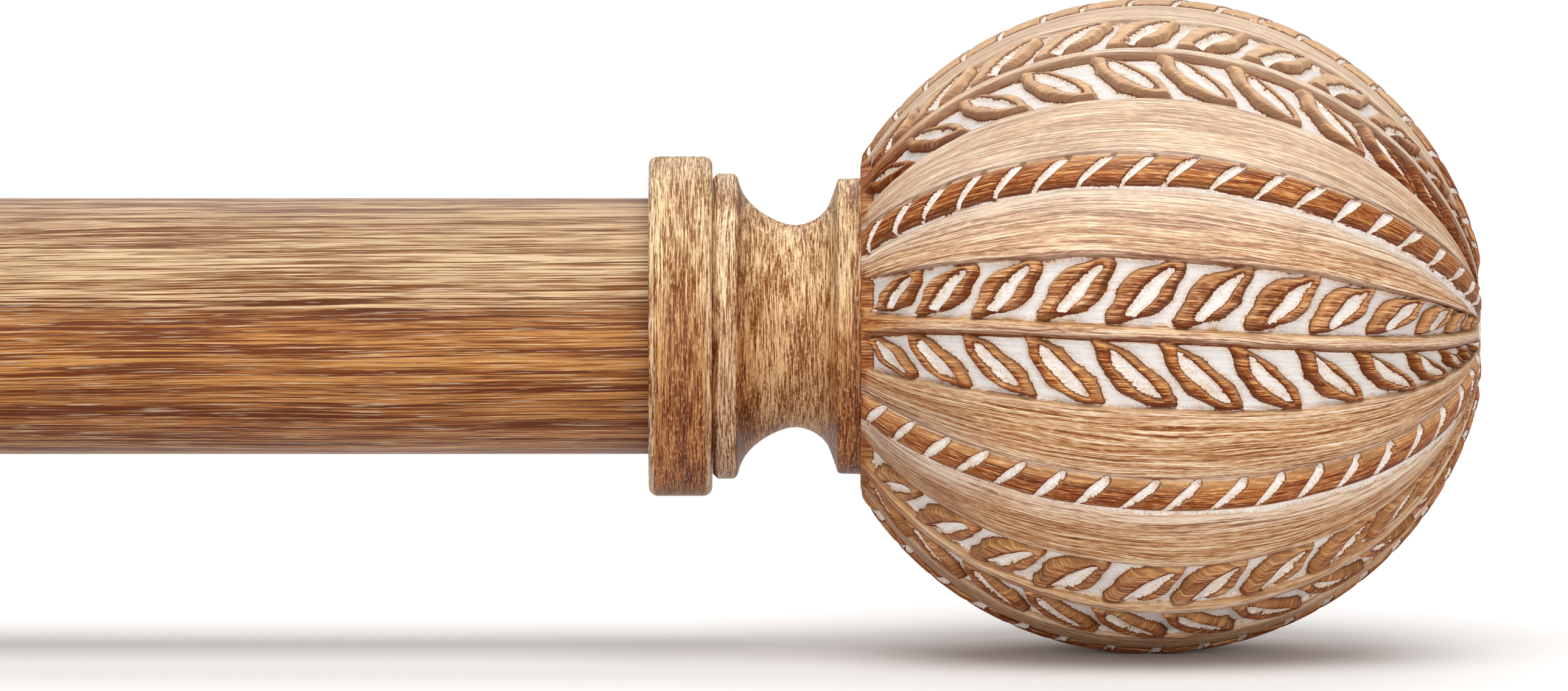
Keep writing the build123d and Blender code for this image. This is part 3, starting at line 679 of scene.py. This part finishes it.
# Painted light and shade: a painted highlight band just above the front, darker below the front, greyer
# underneath.
ROD_TONES_WITH_LIGHT = [  # round the tube from underneath, over the front at 0.5, to the top and back, with painted light and shade
    (0.00, (0.22, 0.13, 0.075)),
    (0.24, (0.30, 0.143, 0.062)),
    (0.33, (0.28, 0.113, 0.040)),
    (0.38, (0.24, 0.077, 0.018)),
    (0.46, (0.350, 0.132, 0.030)),
    (0.505, (0.335, 0.122, 0.027)),
    (0.533, (0.225, 0.080, 0.021)),
    (0.549, (0.42, 0.238, 0.108)),
    (0.60, (0.43, 0.258, 0.120)),
    (0.68, (0.36, 0.195, 0.086)),
    (0.85, (0.28, 0.150, 0.070)),
    (1.00, (0.22, 0.13, 0.075)),
]
TURNED_TONES_WITH_LIGHT = [  # in the same order, painted paler on top and darker underneath as light and shade
    (0.00, (0.19, 0.062, 0.016)),
    (0.34, (0.225, 0.070, 0.017)),
    (0.42, (0.285, 0.100, 0.026)),
    (0.50, (0.40, 0.175, 0.056)),
    (0.58, (0.52, 0.315, 0.145)),
    (0.75, (0.50, 0.295, 0.135)),
    (1.00, (0.19, 0.062, 0.016)),
]
PALE_RIM = (0.60, 0.42, 0.25)
GROOVE = (0.20, 0.062, 0.020)
PALE_COVE = (0.56, 0.330, 0.150)
FLOOR = (0.875, 0.87, 0.865)


def rod_material():
    """Long fine streaks on the tube, with a painted highlight above the front and painted shade in red-brown
    below it.
    """
    t = Tree("wood_grain_tube")
    along, across, turn, _ = round_coordinates(t)
    swaying = swayed(t, along, across, 9.0, 80.0, 3.2)
    fine = grain(t, along, swaying, 1.0, 12.0, 0.14)
    hair = grain(t, along, swaying, 2.0, 24.0, 0.26)
    middle = grain(t, along, swaying, 4.0, 45.0, 1.05, detail=3.0)
    pores = grain(t, along, swaying, 6.0, 7.0, 0.17)
    place = t.math("MULTIPLY_ADD", turn, 0.5, 0.5)
    place = t.math("ADD", place, t.math("MULTIPLY", t.math("SUBTRACT", middle, 0.5), 0.016))
    place = t.math("ADD", place, t.math("MULTIPLY", t.math("SUBTRACT", hair, 0.5), 0.010))
    base = t.ramp(place, ROD_TONES_WITH_LIGHT)
    tone = blend(t, (fine, 0.34), (hair, 0.34), (middle, 0.32), spread=0.16)
    calm = t.math("MULTIPLY_ADD", t.math("SUBTRACT", tone, 0.5), 0.72, 0.53)
    # The streaks are calmer inside the painted highlight band.
    pale = t.math("MULTIPLY", t.span(place, 0.53, 0.56), t.span(place, 0.72, 0.62))
    lively = t.math("MULTIPLY", tone, t.math("SUBTRACT", 1.0, pale))
    tone = t.math("ADD", t.math("MULTIPLY", calm, pale), lively)
    colour = streaked(t, base, tone)
    colour = flecked(t, colour, pores, 0.35, 0.65)
    normal = t.bump(tone, 0.30, 0.00010)
    return t.finish(colour, t.span(fine, 0.0, 1.0, 0.36, 0.48), normal, Specular_IOR_Level=0.18)


def turned_material():
    """Streaks round the collar and neck, painted paler on top and darker below as light and shade, paler on
    the step and the rounded rims, darker in the grooves.
    """
    t = Tree("turned_finial")
    along, across, turn, radius = round_coordinates(t)
    swaying = swayed(t, across, along, 9.0, 12.0, 1.0)
    fine = grain(t, across, swaying, 2.0, 2.4, 0.15)
    middle = grain(t, across, swaying, 3.0, 6.0, 0.36)
    broad = grain(t, across, swaying, 7.0, 9.0, 3.0)
    flecks = grain(t, across, swaying, 5.0, 0.5, 0.16)
    tone = blend(t, (fine, 0.44), (middle, 0.24), (broad, 0.20), (flecks, 0.12), spread=0.22)
    # The ramp round the turn paints light and shade: paler on top, darker underneath.
    place = t.math("MULTIPLY_ADD", turn, 0.5, 0.5)
    place = t.math("ADD", place, t.math("MULTIPLY", t.math("SUBTRACT", broad, 0.5), 0.03))
    base = t.ramp(place, TURNED_TONES_WITH_LIGHT)
    # By radius in millimetres: the step's edge, the collar's edge, the shoulders of the cove, and its bottom.
    step = t.math("MULTIPLY", t.span(radius, 14.90, 15.05), t.span(radius, 15.30, 15.18))
    rim = t.math("MULTIPLY", t.span(radius, 16.0, 16.4), t.span(radius, 16.84, 16.70))
    base = t.mix(t.math("MULTIPLY", t.math("MAXIMUM", step, rim), 0.40), base, (*PALE_RIM, 1))
    groove = t.math("MULTIPLY", t.span(radius, 12.9, 13.8), t.span(radius, 14.72, 14.2))
    base = t.mix(t.math("MULTIPLY", groove, 0.45), base, (*GROOVE, 1))
    base = t.mix(t.span(radius, 12.8, 11.0, 0.0, 0.45), base, (*PALE_COVE, 1))
    colour = flecked(t, streaked(t, base, tone), flecks, 0.25, 0.20)
    normal = t.bump(tone, 0.30, 0.00010)
    return t.finish(colour, t.span(fine, 0.0, 1.0, 0.38, 0.50), normal, Specular_IOR_Level=0.18)


def painted_metal(name, dark, light):
    """Brushed bronze-brown paint on a casting: fine upright strokes over a faint cloud, and gold dust."""
    t = Tree(name)
    place = t.node("ShaderNodeTexCoord").outputs["Object"]
    x, y, z = t.node("ShaderNodeSeparateXYZ", {0: place}).outputs
    strokes = t.vector(t.math("MULTIPLY", x, 2800), t.math("MULTIPLY", y, 2800), t.math("MULTIPLY", z, 260))
    stroke = t.noise(strokes, 1.0, 3.0, 0.6)
    cloud = t.noise(place, 70.0, 3.0, 0.5)
    dust = t.noise(place, 3200.0, 2.0, 0.5)
    tone = t.math("MULTIPLY_ADD", cloud, 0.35, t.math("MULTIPLY", stroke, 0.65))
    colour = t.mix(t.span(tone, 0.38, 0.62), (*dark, 1), (*light, 1))
    colour = t.mix(t.span(dust, 0.60, 0.72, 0.0, 0.5), colour, (*GOLD_FLECK, 1))
    normal = t.bump(stroke, 0.20, 0.00006)
    rough = t.span(stroke, 0.3, 0.7, 0.34, 0.46)
    return t.finish(colour, rough, normal, Metallic=0.35, Coat_Weight=0.15, Coat_Roughness=0.3)


def plain_metal(name, colour, rough):
    """Turned or plated metal with fine marks."""
    t = Tree(name)
    place = t.node("ShaderNodeTexCoord").outputs["Object"]
    marks = t.noise(place, 900.0, 4.0, 0.6)
    cloud = t.noise(place, 150.0, 3.0, 0.5)
    shade = t.mix(t.span(cloud, 0.3, 0.7), (*colour, 1), (*(v * 0.78 for v in colour), 1))
    normal = t.bump(marks, 0.12, 0.00005)
    return t.finish(shade, t.span(marks, 0.3, 0.7, rough, rough + 0.14), normal, Metallic=1.0)


def nylon():
    """Natural nylon, a little cloudy."""
    t = Tree("moulded_nylon")
    place = t.node("ShaderNodeTexCoord").outputs["Object"]
    cloud = t.noise(place, 200.0, 4.0, 0.6)
    shade = t.mix(cloud, (0.80, 0.765, 0.68, 1), (0.88, 0.85, 0.78, 1))
    rough = t.span(cloud, 0.3, 0.7, 0.42, 0.52)
    normal = t.bump(t.noise(place, 1500.0, 2.0, 0.5), 0.10, 0.00005)
    return t.finish(shade, rough, normal, Subsurface_Weight=0.08, Subsurface_Scale=0.002)


MATERIALS = {
    "rod_finish": rod_material(),
    "finial_finish": turned_material(),
    "bracket_finish": painted_metal("painted_bracket", dark=(0.20, 0.085, 0.034), light=(0.40, 0.205, 0.092)),
    "bare_steel": plain_metal("zinc_plated_steel", (0.62, 0.62, 0.61), 0.28),
    "zinc_plug": plain_metal("cast_zinc", (0.52, 0.52, 0.53), 0.42),
    "brass_insert": plain_metal("turned_brass", (0.78, 0.58, 0.26), 0.26),
    "nylon": nylon(),
}
SLOTS = {row["node"]: row["material_slot"] for row in frame["record"]["subparts"]}
for node, piece in frame["nodes"].items():
    piece.data.materials.clear()
    piece.data.materials.append(MATERIALS[SLOTS[node]])

carved = carved_material()
carved_ball("right", 1, carved)
carved_ball("left", -1, carved)


# ================================================================ floor, light and camera
def floor():
    """A plain pale floor just under the balls' carving."""
    level = CAD_BOX[0][2] - 0.0003
    bpy.ops.mesh.primitive_plane_add(size=12.0, location=(0, 0, level))
    plane = bpy.context.active_object
    plane.name = "floor"
    t = Tree("pale_floor")
    plane.data.materials.append(t.finish((*FLOOR, 1), 0.9))


def softbox(name, place, target, size, power):
    """A large rectangular lamp, out of the camera's sight."""
    lamp = bpy.data.lights.new(name, "AREA")
    lamp.shape = "RECTANGLE"
    lamp.size, lamp.size_y = size
    lamp.energy = power
    holder = bpy.data.objects.new(name, lamp)
    bpy.context.collection.objects.link(holder)
    holder.location = place
    holder.rotation_euler = (Vector(target) - Vector(place)).to_track_quat("-Z", "Y").to_euler()
    holder.visible_camera = False


def wide_sun(name, strength, spread, tilt):
    """A very wide sun from above, tilted towards the viewer by that many degrees, for an even floor."""
    lamp = bpy.data.lights.new(name, "SUN")
    lamp.energy = strength
    lamp.angle = math.radians(spread)
    holder = bpy.data.objects.new(name, lamp)
    bpy.context.collection.objects.link(holder)
    holder.rotation_euler = (math.radians(tilt), 0, 0)


def studio(lighting, seen):
    """White surroundings: one strength lights the scene and another is what the camera sees."""
    world = bpy.data.worlds.new("studio")
    bpy.context.scene.world = world
    world.use_nodes = True
    nodes, links = world.node_tree.nodes, world.node_tree.links
    strength = nodes.new("ShaderNodeMapRange")
    strength.inputs["To Min"].default_value = lighting
    strength.inputs["To Max"].default_value = seen
    links.new(nodes.new("ShaderNodeLightPath").outputs["Is Camera Ray"], strength.inputs["Value"])
    links.new(strength.outputs[0], nodes["Background"].inputs["Strength"])
    nodes["Background"].inputs["Color"].default_value = (1.0, 1.0, 1.0, 1.0)


middle_x = (CAD_BOX[0][0] + CAD_BOX[1][0]) / 2
floor()
studio(lighting=0.44, seen=1.10)
wide_sun("overhead", strength=1.85, spread=50.0, tilt=18.0)
wide_sun("behind", strength=0.85, spread=40.0, tilt=-40.0)  # spreads the shadow towards the viewer
softbox(
    "front_fill",
    place=(middle_x + 0.3, ROD_Y - 1.6, 0.24),
    target=(middle_x + 0.1, ROD_Y, 0),
    size=(1.6, 0.5),
    power=10.0,
)

# The view is square to the rod and a little from above, from so far that the finial's edges look straight.
VIEW_DISTANCE = 2.5
VIEW_ELEVATION = 4.0  # degrees
VIEW_WIDTH = 0.15575  # what the picture spans at the rod, in metres
FRAME_TO_COLLAR = 0.01342  # from the collar's face to the picture's middle
AXIS_ABOVE_MIDDLE = 0.00192  # from the picture's middle up to the rod's axis
collar_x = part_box("right_finial_collar")[0][0]
lens = bpy.data.cameras.new("camera")
lens.sensor_width = 36.0
lens.lens = lens.sensor_width * VIEW_DISTANCE / VIEW_WIDTH
camera = bpy.data.objects.new("camera", lens)
bpy.context.collection.objects.link(camera)
rise = math.radians(VIEW_ELEVATION)
camera.location = (
    collar_x + FRAME_TO_COLLAR,
    ROD_Y - VIEW_DISTANCE * math.cos(rise),
    VIEW_DISTANCE * math.sin(rise) - AXIS_ABOVE_MIDDLE / math.cos(rise),
)
camera.rotation_euler = (math.radians(90) - rise, 0, 0)
bpy.context.scene.camera = camera
bpy.context.scene.view_settings.view_transform = "Standard"
